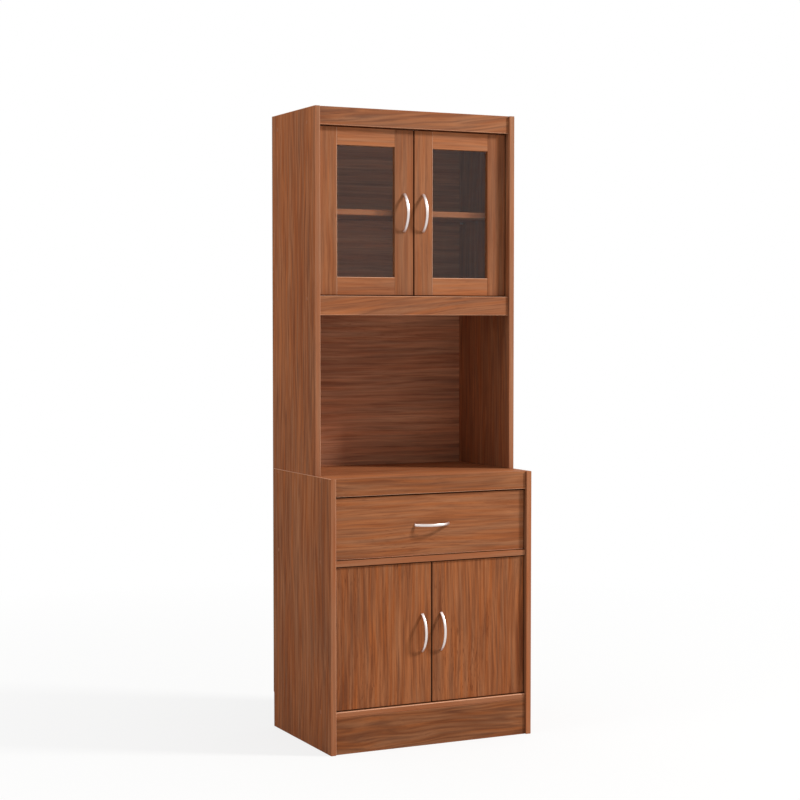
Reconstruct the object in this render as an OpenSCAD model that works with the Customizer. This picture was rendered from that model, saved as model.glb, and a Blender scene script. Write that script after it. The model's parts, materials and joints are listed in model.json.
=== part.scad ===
// Kitchen cabinet: a deep lower unit with two doors and a drawer, an open niche over its
// counter, and a shallower upper unit with two glazed doors.
// Millimetres. +X is to the right seen from the front, the front faces -Y, +Z is up.
// The origin is the middle of the box around the whole cabinet, at floor level.

/* [Overall] */
// Width across the side panels
width = 600; // [480:1:900]
// Height from the floor to the top of the crown
height = 1700; // [1560:1:2000]
// Depth of the lower unit, from the wall to the front edges of its side panels
lower_depth = 400; // [390:1:560]
// Depth of the upper unit, from the wall to the front edges of its side panels
upper_depth = 300; // [240:1:340]
// Height of the lower unit, up to its counter
lower_h = 725; // [650:1:850]

/* [Panels] */
// Thickness of the side panels
side_t = 15; // [12:0.5:22]
// Thickness of the boards that lie flat
board_t = 15; // [14:0.5:22]
// Thickness of the crown, rails, apron and plinth
rail_t = 15; // [12:0.5:22]
// Thickness of the doors and the drawer front
door_t = 15; // [14:0.5:18]
// Thickness of the back panels
back_t = 3; // [2.5:0.5:6]

/* [Levels] */
// Height of the plinth under the bottom board
plinth_h = 97; // [70:1:150]
// Height of the drawer bay, from the mid board up to the apron
drawer_bay_h = 168; // [150:1:220]
// Height of the apron under the counter's front edge
apron_h = 48; // [30:1:80]
// Height of the crown
crown_h = 47.5; // [30:0.5:90]
// Height of the rail under the glazed doors
niche_rail_h = 51; // [30:1:90]
// Clear height of the glazed compartment
upper_bay_h = 450.5; // [380:0.5:520]
// Height of the shelf's underside above the floor of the glazed compartment
shelf_h = 218; // [100:1:300]
// Setback of the crown, rails, lower boards and plinth behind the side panels' front edges
rail_setback = 6; // [2:0.5:15]
// Setback of the lower doors and the drawer front behind the lower boards' front edges
lower_door_setback = 6; // [2:0.5:12]

/* [Doors] */
// Gap between a door or the drawer front and the side panel
door_side_gap = 2; // [1.8:0.1:4]
// Gap between two doors of a pair
door_mid_gap = 2.5; // [1.5:0.1:5]
// Gap above and below each door and under the drawer front
door_z_gap = 2; // [1.5:0.1:4]
// Gap above the drawer front
drawer_top_gap = 3; // [1.5:0.1:5]
// Distance from a door's outer edge to its pivot axis
pivot_inset = 18; // [17:0.5:24]

/* [Glazing] */
// Width of the upright members of a glazed door
stile_w = 56; // [46:1:80]
// Width of the level members of a glazed door
door_rail_w = 48.5; // [35:0.5:80]
// Thickness of the glass
glass_t = 3; // [2:0.5:4]
// Thickness of the beads that hold the glass
bead_t = 6; // [4:0.5:7]
// Width of the rebate that takes the glass and beads
rebate_w = 8; // [6:0.5:12]
// Free play at the edges of the glass
glass_gap = 0.5; // [0.2:0.1:2]

/* [Handles] */
// Distance between the screws of a handle
handle_pitch = 96; // [64:1:128]
// Height of a handle above its door
handle_rise = 28; // [24:0.5:35]
// Thickness of a handle's bow
handle_t = 5.5; // [4:0.5:7]
// Width of a handle's bow
handle_w = 9; // [7:0.5:9.5]
// Diameter of a handle's feet
handle_foot_d = 10; // [10:0.5:14]
// Height of a handle's feet
handle_foot_h = 5.5; // [4:0.5:8]
// Outer radius of the bends at a handle's ends
handle_bend_r = 16; // [15:0.5:20]
// Distance from a door handle to the cabinet's middle plane
handle_x = 28.5; // [20:0.5:32]
// Radius of a handle screw
handle_screw_r = 2; // [1.5:0.25:2]
// Length of a handle screw inside the handle's foot
handle_screw_in = 7; // [5:0.5:8]
// Radius of a handle screw's head
handle_head_r = 4; // [3:0.5:5]
// Height of a handle screw's head
handle_head_t = 2.5; // [1.5:0.5:4]

/* [Pivots and catches] */
// Radius of the door pivot pins
pin_r = 2.5; // [2:0.25:2.75]
// Length of a pivot pin inside its door
pin_in_door = 20; // [12:1:30]
// Length of a pivot pin inside its bush
pin_in_bush = 8; // [5:0.5:9]
// Outer radius of the pivot bushes
bush_r = 4.2; // [4:0.1:5]
// Length of a pivot bush inside its board
bush_in_board = 11; // [10.5:0.5:12]
// Radius of a pivot bush's flange
bush_flange_r = 6; // [5.5:0.25:6.5]
// Width of a door catch
catch_w = 44; // [36:1:60]
// Depth of a door catch, front to back
catch_d = 12; // [8:1:20]
// Height of a door catch
catch_h = 12; // [8:1:16]
// Thickness of a strike plate
strike_t = 1.2; // [0.8:0.1:2]
// Width of a strike plate
strike_w = 16; // [10:1:20]
// Gap between a catch and its strike plates
catch_gap = 0.5; // [0.3:0.1:1]

/* [Drawer] */
// Gap between the drawer box and the side panel, which holds the runners
runner_gap = 12.5; // [12:0.5:16]
// Length of the drawer box behind its front
drawer_l = 330; // [250:1:340]
// Height of the drawer box
drawer_h = 110; // [80:1:115]
// Height of the drawer box above the mid board
drawer_lift = 21; // [16:1:26]
// Thickness of the drawer's sides and back
drawer_side_t = 12; // [11:0.5:16]
// Thickness of the drawer bottom
drawer_bottom_t = 3; // [3:0.5:6]
// Height of the drawer bottom above the lower edges of the drawer box
drawer_bottom_lift = 8; // [5:0.5:15]
// Depth of the grooves that hold the drawer bottom
groove_in = 6; // [4:0.5:8]
// Free play of the drawer bottom in its grooves
groove_gap = 0.5; // [0.2:0.1:1]

/* [Runners] */
// Sheet thickness of the runners
runner_t = 1.2; // [1:0.1:1.5]
// Radius of the rollers
roller_r = 7; // [6:0.5:8]
// Width of the rollers
roller_w = 6; // [5:0.5:6.5]
// Radius of the roller axles
axle_r = 2; // [1.5:0.25:2.5]
// Radius of the shoulder and head that keep a roller on its axle
axle_head_r = 3.2; // [3:0.1:4]
// Gap between a roller and the track it runs on
roll_gap = 0.3; // [0.3:0.05:0.6]
// Height of the roller axles above the lower edges of the drawer box
roller_lift = 5; // [3:0.5:8]
// Distance from each roller to the end of its runner
roller_inset = 12; // [10:0.5:20]

/* [Fasteners] */
// Radius of the carcass screws
screw_r = 2.5; // [2:0.25:3]
// Depth to which a carcass screw reaches, from the outer face of the side panel
screw_reach = 50; // [35:1:60]
// Radius of a carcass screw's head
screw_head_r = 4.8; // [4:0.1:5.2]
// Thickness of a carcass screw's head
screw_head_t = 3.5; // [2:0.5:5]
// Radius of the screw caps
cap_r = 5.5; // [5.5:0.1:6.5]
// Thickness of the screw caps
cap_t = 1.5; // [1:0.1:3]
// Distance from the wall to the rear carcass screws
screw_back_d = 40; // [30:1:60]
// Distance from the upper side panels' front edges to their front screws
upper_screw_in = 55; // [45:1:70]
// Distance from the lower side panels' front edges to their front screws
lower_screw_in = 68; // [45:1:90]
// Radius of the dowels between the side panels
dowel_r = 4; // [3:0.5:5]
// Length of the dowels between the side panels
dowel_l = 30; // [20:1:50]
// Distance from the upper side panels' back and front to the dowels under them
dowel_in = 60; // [52:1:90]
// Radius of the dowels behind the crown, rails and apron and over the plinth
rail_dowel_r = 3; // [2.5:0.25:4]
// Length of those dowels
rail_dowel_l = 24; // [18:1:30]
// Depth to which those dowels go into the crown, rails, apron and bottom board
rail_dowel_in = 10; // [8:0.5:10.5]
// Distance of those dowels from the cabinet's middle plane
rail_dowel_x = 150; // [60:1:180]
// Radius of the shelf pins
shelf_pin_r = 2.5; // [2:0.25:4]
// Length of a shelf pin inside the side panel, and of the same pin under the shelf
shelf_pin_in = 8; // [6:0.5:10]
// Distance from the shelf's front and back to its pins
shelf_pin_inset = 21; // [15:1:60]
// Gap between the shelf and the side panels
shelf_gap = 1; // [0.3:0.1:2]
// Gap between the shelf and the path of the doors' edges
shelf_front_gap = 2; // [1:0.5:20]
// Radius of the nails in the back panels
nail_r = 0.9; // [0.6:0.1:1.2]
// Length of the nails
nail_l = 22; // [15:1:25]
// Radius of the nail heads
nail_head_r = 2.2; // [1.6:0.1:3]
// Thickness of the nail heads
nail_head_t = 0.8; // [0.5:0.1:1.5]
// Distance from the ends of a back panel to its first nails
nail_end = 25; // [20:1:60]
// Distance of the board nails from the cabinet's middle plane
nail_x = 120; // [60:1:160]
// Nails along each side edge of the upper back panel
upper_nails = 6; // [4:1:10]
// Nails along each side edge of the lower back panel
lower_nails = 4; // [3:1:6]
// Radial gap round screws, nails, dowels, pins and bushes in their holes
fit_gap = 0.05; // [0.02:0.01:0.08]

/* [Hidden] */
$fn = 48;
over = 1;                       // how far a cut runs past the face it opens
end_gap = 0.5;                  // room past the end of a screw, dowel or pin in its hole
flange_play = 0.3;              // room between a bush's flange and its door
bore_gap = 1;                   // room past the end of a pin in its bush
bow_inset = 0.5;                // how far a bow's end stands in from the side of its foot
bend_steps = 8;                 // straight pieces in each bend of a handle
bow_steps = 7;                  // straight pieces in each half of its long arc
slot_w = 14;                    // width of the slots in a catch
slot_h = 4;                     // height of those slots
slot_in = 2;                    // depth of those slots
runner_end = 2;                 // how far a cabinet runner stands back from its drawer runner
lip_gap = 3;                    // room between a cabinet runner's lips and the drawer box
slide_gap = 0.8;                // room between runner sheets that slide past each other
drawer_web_up = 8;              // how far a drawer runner reaches above the upper lip
roller_play = 0.3;              // room between a roller and the heads beside it
axle_head_t = 0.5;              // thickness of the head on an axle's end
wood = [0.56, 0.34, 0.21];
dowel_wood = [0.87, 0.72, 0.53];
hardboard = [0.82, 0.71, 0.55];
glass = [0.8, 0.85, 0.85, 0.4];
metal = [0.78, 0.78, 0.77];
nylon = [0.92, 0.91, 0.87];

// Places along the depth are distances from the wall, turned into y by fy()
half_w = width / 2;
inner_x = half_w - side_t;
lower_front_d = lower_depth - rail_setback;
lower_face_d = lower_front_d - lower_door_setback;
lower_back_d = lower_face_d - door_t;
upper_front_d = upper_depth - rail_setback;
upper_face_d = upper_front_d - rail_t;
upper_back_d = upper_face_d - door_t;
wall_y = max(lower_depth, lower_face_d + handle_rise) / 2;
function fy(d) = wall_y - d;

// Undersides of the boards that lie flat
bottom_z = plinth_h;
counter_z = lower_h - board_t;
mid_z = lower_h - apron_h - drawer_bay_h - board_t;
top_z = height - crown_h;
niche_z = top_z - upper_bay_h - board_t;

// Doors: each bay is the clear height between two boards
upper_bay = [niche_z + board_t, top_z];
lower_bay = [bottom_z + board_t, mid_z];
door_x0 = door_mid_gap / 2;
door_x1 = inner_x - door_side_gap;
pivot_x = door_x1 - pivot_inset;
upper_pivot_d = upper_back_d + door_t / 2;
lower_pivot_d = lower_back_d + door_t / 2;
door_sweep = sqrt(pivot_inset * pivot_inset + door_t * door_t / 4);
flange_t = door_z_gap - flange_play;
bushes = [
    [upper_pivot_d, upper_bay[0], 1], [upper_pivot_d, upper_bay[1], -1],
    [lower_pivot_d, lower_bay[0], 1], [lower_pivot_d, lower_bay[1], -1]
];

// Shelf in the glazed compartment
shelf_z = upper_bay[0] + shelf_h;
shelf_front_d = upper_pivot_d - door_sweep - shelf_front_gap;
shelf_pin_d = [back_t + shelf_pin_inset, shelf_front_d - shelf_pin_inset];

// Handle bow: a long arc between two tighter bends, seen from the side
bend_x = (handle_pitch + handle_foot_d) / 2 - bow_inset - handle_bend_r;
bow_r = (bend_x * bend_x + handle_rise * handle_rise - handle_bend_r * handle_bend_r)
    / (2 * (handle_rise - handle_bend_r));
bow_a = atan(bend_x / (bow_r - handle_rise));

// Drawer
drawer_z = mid_z + board_t + drawer_lift;
drawer_top_z = drawer_z + drawer_h;
drawer_rear_d = lower_back_d - drawer_l;
drawer_x = inner_x - runner_gap;
drawer_in_x = drawer_x - drawer_side_t;
floor_z = drawer_z + drawer_bottom_lift;
front_z = [mid_z + board_t + door_z_gap, lower_h - apron_h - drawer_top_gap];
drawer_handle_z = (front_z[0] + front_z[1]) / 2;

// Runners: offsets are measured inwards from the side panel's inner face
roller_z = drawer_z + roller_lift;
flange_z = roller_z + roller_r + roll_gap;
track_z = roller_z - roller_r - roll_gap;
lip_z = flange_z + runner_t + slide_gap;
lip_w = runner_gap - lip_gap;
roller_u = (runner_gap - roller_w - roller_play) / 2;
web_h = lip_z - track_z + 2 * runner_t;
cabinet_roller_d = lower_back_d - runner_end - roller_inset;
drawer_roller_d = drawer_rear_d + roller_inset;

// Fasteners
upper_screw_d = [screw_back_d, upper_depth - upper_screw_in];
lower_screw_d = [screw_back_d, lower_depth - lower_screw_in];
upper_dowel_d = [back_t + dowel_in, upper_depth - dowel_in];
side_mid_x = half_w - side_t / 2;
function mid_of(z) = z + board_t / 2;
function screws(zs, ds) = [for (s = [-1, 1], z = zs, d = ds) [s, d, mid_of(z)]];
upper_screws = screws([top_z, niche_z], upper_screw_d);
lower_screws = screws([counter_z, mid_z, bottom_z], lower_screw_d);
function spread(a, b, n) = [for (i = [0 : n - 1]) a + (b - a) * i / (n - 1)];
function edge_nails(a, b, n) =
    [for (s = [-1, 1], z = spread(a + nail_end, b - nail_end, n)) [s * side_mid_x, z]];
function board_nails(zs) = [for (s = [-1, 1], z = zs) [s * nail_x, mid_of(z)]];
upper_nail_at = concat(edge_nails(lower_h, height, upper_nails), board_nails([top_z, niche_z]));
lower_nail_at = concat(edge_nails(plinth_h, lower_h, lower_nails),
    board_nails([counter_z, mid_z, bottom_z]));

// A block between two x, two distances from the wall and two heights
module block(x, d, z) {
    translate([x[0], fy(d[1]), z[0]]) cube([x[1] - x[0], d[1] - d[0], z[1] - z[0]]);
}

// Places a child at a side panel's outer face, its +Z pointing into the cabinet
module from_side(p) {
    translate([p[0] * half_w, fy(p[1]), p[2]]) rotate([0, -90 * p[0], 0]) children();
}

// Places a child at the wall plane, its +Z pointing to the front
module from_wall(p) {
    translate([p[0], wall_y, p[1]]) rotate([90, 0, 0]) children();
}

// Holes for screws, nails and dowels, cut from every piece that they pass
module screw_holes(places) {
    for (p = places) from_side(p) {
        translate([0, 0, -over]) cylinder(r = cap_r + fit_gap, h = over + cap_t + screw_head_t);
        cylinder(r = screw_r + fit_gap, h = screw_reach + end_gap);
    }
}

module nail_holes(places) {
    for (p = places) from_wall(p) {
        translate([0, 0, -over]) cylinder(r = nail_head_r + fit_gap, h = over + nail_head_t);
        cylinder(r = nail_r + fit_gap, h = nail_l + end_gap);
    }
}

// Dowels between the stacked side panels, grown by g for their holes
module side_dowels(s, g = 0, e = 0) {
    for (d = upper_dowel_d)
        translate([s * side_mid_x, fy(d), lower_h - dowel_l / 2 - e])
            cylinder(r = dowel_r + g, h = dowel_l + 2 * e);
}

// Dowels between a board that ends at d and the strip on its front, at height z
module strip_dowels(d, z, g = 0, e = 0) {
    for (s = [-1, 1])
        translate([s * rail_dowel_x, fy(d + rail_dowel_in + e), z]) rotate([-90, 0, 0])
            cylinder(r = rail_dowel_r + g, h = rail_dowel_l + 2 * e);
}

module plinth_dowels(g = 0, e = 0) {
    for (s = [-1, 1])
        translate([s * rail_dowel_x, fy(lower_front_d - rail_t / 2),
            bottom_z + rail_dowel_in - rail_dowel_l - e])
            cylinder(r = rail_dowel_r + g, h = rail_dowel_l + 2 * e);
}

module lower_side(s) {
    color(wood) difference() {
        block(s > 0 ? [inner_x, half_w] : [-half_w, -inner_x], [back_t, lower_depth], [0, lower_h]);
        screw_holes([for (p = lower_screws) if (p[0] == s) p]);
        nail_holes([for (p = lower_nail_at) if (p[0] * s > inner_x) p]);
        side_dowels(s, fit_gap, end_gap);
    }
}
module lower_side_left() lower_side(-1);
module lower_side_right() lower_side(1);

module upper_side(s) {
    color(wood) difference() {
        block(s > 0 ? [inner_x, half_w] : [-half_w, -inner_x], [back_t, upper_depth],
            [lower_h, height]);
        screw_holes([for (p = upper_screws) if (p[0] == s) p]);
        nail_holes([for (p = upper_nail_at) if (p[0] * s > inner_x) p]);
        side_dowels(s, fit_gap, end_gap);
        shelf_pin_set(s, fit_gap, end_gap);
    }
}
module upper_side_left() upper_side(-1);
module upper_side_right() upper_side(1);

// A board between the side panels, with its holes for screws and nails
module flat_board(z, d, screw_places, nail_places) {
    difference() {
        block([-inner_x, inner_x], [back_t, d], [z, z + board_t]);
        screw_holes([for (p = screw_places) if (p[2] == mid_of(z)) p]);
        nail_holes([for (p = nail_places) if (abs(p[0]) < inner_x && p[1] == mid_of(z)) p]);
        bush_holes(z);
    }
}

module counter_board() {
    color(wood) difference() {
        flat_board(counter_z, lower_front_d - rail_t, lower_screws, lower_nail_at);
        strip_dowels(lower_front_d - rail_t, mid_of(counter_z), fit_gap, end_gap);
    }
}

module mid_board() {
    color(wood) flat_board(mid_z, lower_front_d, lower_screws, lower_nail_at);
}

module bottom_board() {
    color(wood) difference() {
        flat_board(bottom_z, lower_front_d, lower_screws, lower_nail_at);
        plinth_dowels(fit_gap, end_gap);
    }
}

module top_board() {
    color(wood) difference() {
        flat_board(top_z, upper_face_d, upper_screws, upper_nail_at);
        strip_dowels(upper_face_d, mid_of(top_z), fit_gap, end_gap);
    }
}

module niche_board() {
    color(wood) difference() {
        flat_board(niche_z, upper_face_d, upper_screws, upper_nail_at);
        strip_dowels(upper_face_d, mid_of(niche_z), fit_gap, end_gap);
    }
}

// A strip between the side panels, on the front edge of a board
module front_strip(d, z) {
    block([-inner_x, inner_x], [d - rail_t, d], z);
}

module counter_apron() {
    color(wood) difference() {
        front_strip(lower_front_d, [lower_h - apron_h, lower_h]);
        strip_dowels(lower_front_d - rail_t, mid_of(counter_z), fit_gap, end_gap);
    }
}

module plinth_board() {
    color(wood) difference() {
        front_strip(lower_front_d, [0, plinth_h]);
        plinth_dowels(fit_gap, end_gap);
    }
}

module crown_rail() {
    color(wood) difference() {
        front_strip(upper_front_d, [top_z, height]);
        strip_dowels(upper_face_d, mid_of(top_z), fit_gap, end_gap);
    }
}

module niche_rail() {
    color(wood) difference() {
        front_strip(upper_front_d, [upper_bay[0] - niche_rail_h, upper_bay[0]]);
        strip_dowels(upper_face_d, mid_of(niche_z), fit_gap, end_gap);
    }
}

module upper_shelf() {
    color(wood) block([shelf_gap - inner_x, inner_x - shelf_gap], [back_t, shelf_front_d],
        [shelf_z, shelf_z + board_t]);
}

// The two pins of one side panel, grown by g and e for their holes
module shelf_pin_set(s, g = 0, e = 0) {
    for (d = shelf_pin_d)
        translate([s * (inner_x + shelf_pin_in + e), fy(d), shelf_z - shelf_pin_r])
            rotate([0, -90 * s, 0]) cylinder(r = shelf_pin_r + g, h = 2 * shelf_pin_in + e);
}

module shelf_pins() {
    color(metal) for (s = [-1, 1]) shelf_pin_set(s);
}

module back_panel(z, nail_places) {
    color(wood) difference() {
        block([-half_w, half_w], [0, back_t], z);
        nail_holes(nail_places);
    }
}
module upper_back_panel() back_panel([lower_h, height], upper_nail_at);
module lower_back_panel() back_panel([plinth_h, lower_h], lower_nail_at);

module carcass_screws() {
    color(metal) for (p = concat(upper_screws, lower_screws)) from_side(p) {
        translate([0, 0, cap_t]) cylinder(r = screw_head_r, h = screw_head_t);
        translate([0, 0, cap_t]) cylinder(r = screw_r, h = screw_reach - cap_t);
    }
}

module screw_caps() {
    color(wood) for (p = concat(upper_screws, lower_screws)) from_side(p)
        cylinder(r = cap_r, h = cap_t);
}

module joining_dowels() {
    color(dowel_wood) {
        for (s = [-1, 1]) side_dowels(s);
        strip_dowels(lower_front_d - rail_t, mid_of(counter_z));
        strip_dowels(upper_face_d, mid_of(top_z));
        strip_dowels(upper_face_d, mid_of(niche_z));
        plinth_dowels();
    }
}

module back_panel_nails() {
    color(metal) for (p = concat(upper_nail_at, lower_nail_at)) from_wall(p) {
        cylinder(r = nail_head_r, h = nail_head_t);
        cylinder(r = nail_r, h = nail_l);
    }
}

// Places a child at each bush of a board face: b is [distance, height, way to the door]
module at_bush(b) {
    for (s = [-1, 1]) translate([s * pivot_x, fy(b[0]), b[1]])
        rotate([b[2] > 0 ? 0 : 180, 0, 0]) children();
}

module bush_holes(z) {
    for (b = bushes) if (b[1] == z || b[1] == z + board_t) at_bush(b)
        translate([0, 0, -bush_in_board - end_gap])
            cylinder(r = bush_r + fit_gap, h = bush_in_board + end_gap + over);
}

module pivot_bushes() {
    color(nylon) for (b = bushes) at_bush(b) difference() {
        union() {
            translate([0, 0, -bush_in_board]) cylinder(r = bush_r, h = bush_in_board + flange_t);
            cylinder(r = bush_flange_r, h = flange_t);
        }
        translate([0, 0, -pin_in_bush - bore_gap])
            cylinder(r = pin_r + fit_gap, h = pin_in_bush + bore_gap + flange_t + over);
    }
}

// A catch hangs under the board at z, behind doors whose backs stand at d
module catch(z, d) {
    front_d = d - strike_t - catch_gap;
    color(nylon) difference() {
        block([-catch_w / 2, catch_w / 2], [front_d - catch_d, front_d], [z - catch_h, z]);
        for (s = [-1, 1]) block([s * catch_w / 4 - slot_w / 2, s * catch_w / 4 + slot_w / 2],
            [front_d - slot_in, front_d + over], [z - (catch_h + slot_h) / 2, z - (catch_h - slot_h) / 2]);
    }
}
module door_catches() {
    catch(top_z, upper_back_d);
    catch(mid_z, lower_back_d);
}

module strike(s, z, d) {
    x = [catch_w / 4 - strike_w / 2, catch_w / 4 + strike_w / 2];
    color(metal) block(s > 0 ? x : [-x[1], -x[0]], [d - strike_t, d], [z - catch_h, z - door_z_gap]);
}

// Pins of one door: they stand in both ends of the door, in the bay between two boards
module door_pins(s, bay, d, g = 0, e = 0) {
    l = pin_in_door + door_z_gap + pin_in_bush;
    for (z = [bay[0] - pin_in_bush, bay[1] + pin_in_bush - l])
        translate([s * pivot_x, fy(d), z - e]) cylinder(r = pin_r + g, h = l + 2 * e);
}

module handle_hole(x, d, z) {
    translate([x, fy(d), z]) rotate([90, 0, 0])
        translate([0, 0, -over]) cylinder(r = handle_screw_r + fit_gap, h = door_t + 2 * over);
}

module handle_holes(s, d, z) {
    for (k = [-1, 1]) handle_hole(s * handle_x, d, z + k * handle_pitch / 2);
}

function mid(bay) = (bay[0] + bay[1]) / 2;
function door_z(bay) = [bay[0] + door_z_gap, bay[1] - door_z_gap];
function door_x(s) = s > 0 ? [door_x0, door_x1] : [-door_x1, -door_x0];

// The rebate at the back of a glazed frame, grown past the opening by w, from the door's back
module glazing(s, w, d) {
    x = door_x(s);
    z = door_z(upper_bay);
    block([x[0] + stile_w - w, x[1] - stile_w + w], d, [z[0] + door_rail_w - w, z[1] - door_rail_w + w]);
}

module glazed_stiles(s) {
    x = door_x(s);
    color(wood) difference() {
        for (m = [[x[0], x[0] + stile_w], [x[1] - stile_w, x[1]]])
            block(m, [upper_back_d, upper_face_d], door_z(upper_bay));
        glazing(s, rebate_w, [upper_back_d - over, upper_back_d + bead_t + glass_t]);
        door_pins(s, upper_bay, upper_pivot_d, fit_gap, end_gap);
        handle_holes(s, upper_back_d, mid(upper_bay));
    }
}

module glazed_rails(s) {
    x = door_x(s);
    z = door_z(upper_bay);
    color(wood) difference() {
        for (m = [[z[0], z[0] + door_rail_w], [z[1] - door_rail_w, z[1]]])
            block([x[0] + stile_w, x[1] - stile_w], [upper_back_d, upper_face_d], m);
        glazing(s, rebate_w, [upper_back_d - over, upper_back_d + bead_t + glass_t]);
    }
}

module door_glass(s) {
    color(glass)
        glazing(s, rebate_w - glass_gap, [upper_back_d + bead_t, upper_back_d + bead_t + glass_t]);
}

module door_beads(s) {
    x = door_x(s);
    z = door_z(upper_bay);
    x0 = x[0] + stile_w - rebate_w;
    x1 = x[1] - stile_w + rebate_w;
    z0 = z[0] + door_rail_w - rebate_w;
    z1 = z[1] - door_rail_w + rebate_w;
    d = [upper_back_d, upper_back_d + bead_t];
    color(wood) {
        for (m = [[x0, x0 + rebate_w], [x1 - rebate_w, x1]]) block(m, d, [z0, z1]);
        for (m = [[z0, z0 + rebate_w], [z1 - rebate_w, z1]])
            block([x0 + rebate_w, x1 - rebate_w], d, m);
    }
}

// Points along the bow seen from the side, drawn in by i from its outer face
function arc(x, y, r, a0, a1, n) =
    [for (k = [0 : n]) let (a = a0 + (a1 - a0) * k / n) [x + r * cos(a), y + r * sin(a)]];
function bow_half(i) = concat(
    arc(bend_x, 0, handle_bend_r - i, 0, 90 - bow_a, bend_steps),
    arc(0, handle_rise - bow_r, bow_r - i, 90 - bow_a * bow_steps / (bow_steps + 1), 90, bow_steps));
function other_half(h) = [for (k = [len(h) - 2 : -1 : 0]) [-h[k][0], h[k][1]]];
function bow_line(i) = let (h = bow_half(i)) concat(h, other_half(h));
function backwards(points) = [for (k = [len(points) - 1 : -1 : 0]) points[k]];

// A bow handle along X, its feet on z = 0 and its screws at half the pitch
module bow_handle() {
    color(metal) difference() {
        union() {
            rotate([90, 0, 0]) linear_extrude(height = handle_w, center = true)
                polygon(concat(bow_line(0), backwards(bow_line(handle_t))));
            for (s = [-1, 1]) translate([s * handle_pitch / 2, 0, 0])
                cylinder(r = handle_foot_d / 2, h = handle_foot_h);
        }
        for (s = [-1, 1]) translate([s * handle_pitch / 2, 0, -over])
            cylinder(r = handle_screw_r + fit_gap, h = over + handle_screw_in + end_gap);
    }
}

// A screw along +Z: its head below z = 0, its shank through the door and into the handle
module handle_screw() {
    color(metal) {
        translate([0, 0, -handle_head_t]) cylinder(r = handle_head_r, h = handle_head_t);
        cylinder(r = handle_screw_r, h = door_t + handle_screw_in);
    }
}

module door_handle(s, d, z) {
    translate([s * handle_x, fy(d), z]) rotate([90, 90, 0]) bow_handle();
}

module door_handle_screws(s, d, z) {
    for (k = [-1, 1]) translate([s * handle_x, fy(d), z + k * handle_pitch / 2])
        rotate([90, 0, 0]) handle_screw();
}

module upper_left_stiles() glazed_stiles(-1);
module upper_left_rails() glazed_rails(-1);
module upper_left_glass() door_glass(-1);
module upper_left_beads() door_beads(-1);
module upper_left_handle() door_handle(-1, upper_face_d, mid(upper_bay));
module upper_left_screws() door_handle_screws(-1, upper_back_d, mid(upper_bay));
module upper_left_pivots() color(metal) door_pins(-1, upper_bay, upper_pivot_d);
module upper_left_strike() strike(-1, top_z, upper_back_d);

module upper_right_stiles() glazed_stiles(1);
module upper_right_rails() glazed_rails(1);
module upper_right_glass() door_glass(1);
module upper_right_beads() door_beads(1);
module upper_right_handle() door_handle(1, upper_face_d, mid(upper_bay));
module upper_right_screws() door_handle_screws(1, upper_back_d, mid(upper_bay));
module upper_right_pivots() color(metal) door_pins(1, upper_bay, upper_pivot_d);
module upper_right_strike() strike(1, top_z, upper_back_d);

module door_panel(s) {
    color(wood) difference() {
        block(door_x(s), [lower_back_d, lower_face_d], door_z(lower_bay));
        door_pins(s, lower_bay, lower_pivot_d, fit_gap, end_gap);
        handle_holes(s, lower_back_d, mid(lower_bay));
    }
}

module lower_left_panel() door_panel(-1);
module lower_left_handle() door_handle(-1, lower_face_d, mid(lower_bay));
module lower_left_screws() door_handle_screws(-1, lower_back_d, mid(lower_bay));
module lower_left_pivots() color(metal) door_pins(-1, lower_bay, lower_pivot_d);
module lower_left_strike() strike(-1, mid_z, lower_back_d);

module lower_right_panel() door_panel(1);
module lower_right_handle() door_handle(1, lower_face_d, mid(lower_bay));
module lower_right_screws() door_handle_screws(1, lower_back_d, mid(lower_bay));
module lower_right_pivots() color(metal) door_pins(1, lower_bay, lower_pivot_d);
module lower_right_strike() strike(1, mid_z, lower_back_d);

// The drawer bottom, grown by g for the grooves that hold it
module drawer_floor(g) {
    block([-drawer_in_x - groove_in + groove_gap - g, drawer_in_x + groove_in - groove_gap + g],
        [drawer_rear_d - g, lower_back_d + groove_in - groove_gap + g],
        [floor_z, floor_z + drawer_bottom_t]);
}

module drawer_front() {
    color(wood) difference() {
        block([-door_x1, door_x1], [lower_back_d, lower_face_d], front_z);
        drawer_floor(groove_gap);
        for (s = [-1, 1]) handle_hole(s * handle_pitch / 2, lower_back_d, drawer_handle_z);
    }
}

module drawer_handle() {
    translate([0, fy(lower_face_d), drawer_handle_z]) rotate([90, 0, 0]) bow_handle();
}

module drawer_screws() {
    for (s = [-1, 1]) translate([s * handle_pitch / 2, fy(lower_back_d), drawer_handle_z])
        rotate([90, 0, 0]) handle_screw();
}

module drawer_side(s) {
    x = [drawer_in_x, drawer_x];
    color(wood) difference() {
        block(s > 0 ? x : [-x[1], -x[0]], [drawer_rear_d, lower_back_d], [drawer_z, drawer_top_z]);
        drawer_floor(groove_gap);
    }
}
module drawer_side_left() drawer_side(-1);
module drawer_side_right() drawer_side(1);

module drawer_back() {
    color(wood) block([-drawer_in_x, drawer_in_x], [drawer_rear_d, drawer_rear_d + drawer_side_t],
        [floor_z + drawer_bottom_t, drawer_top_z]);
}

module drawer_bottom() {
    color(hardboard) drawer_floor(0);
}

// A block of a runner: u counts inwards from the side panel's inner face, on both sides
module runner_block(s, u, d, z) {
    x = [inner_x - u[1], inner_x - u[0]];
    block(s > 0 ? x : [-x[1], -x[0]], d, z);
}

// A round piece of a runner about the roller axle at d
module runner_round(s, u, d, r) {
    translate([s * (inner_x - u[0]), fy(d), roller_z]) rotate([0, -90 * s, 0])
        cylinder(r = r, h = u[1] - u[0]);
}

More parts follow.
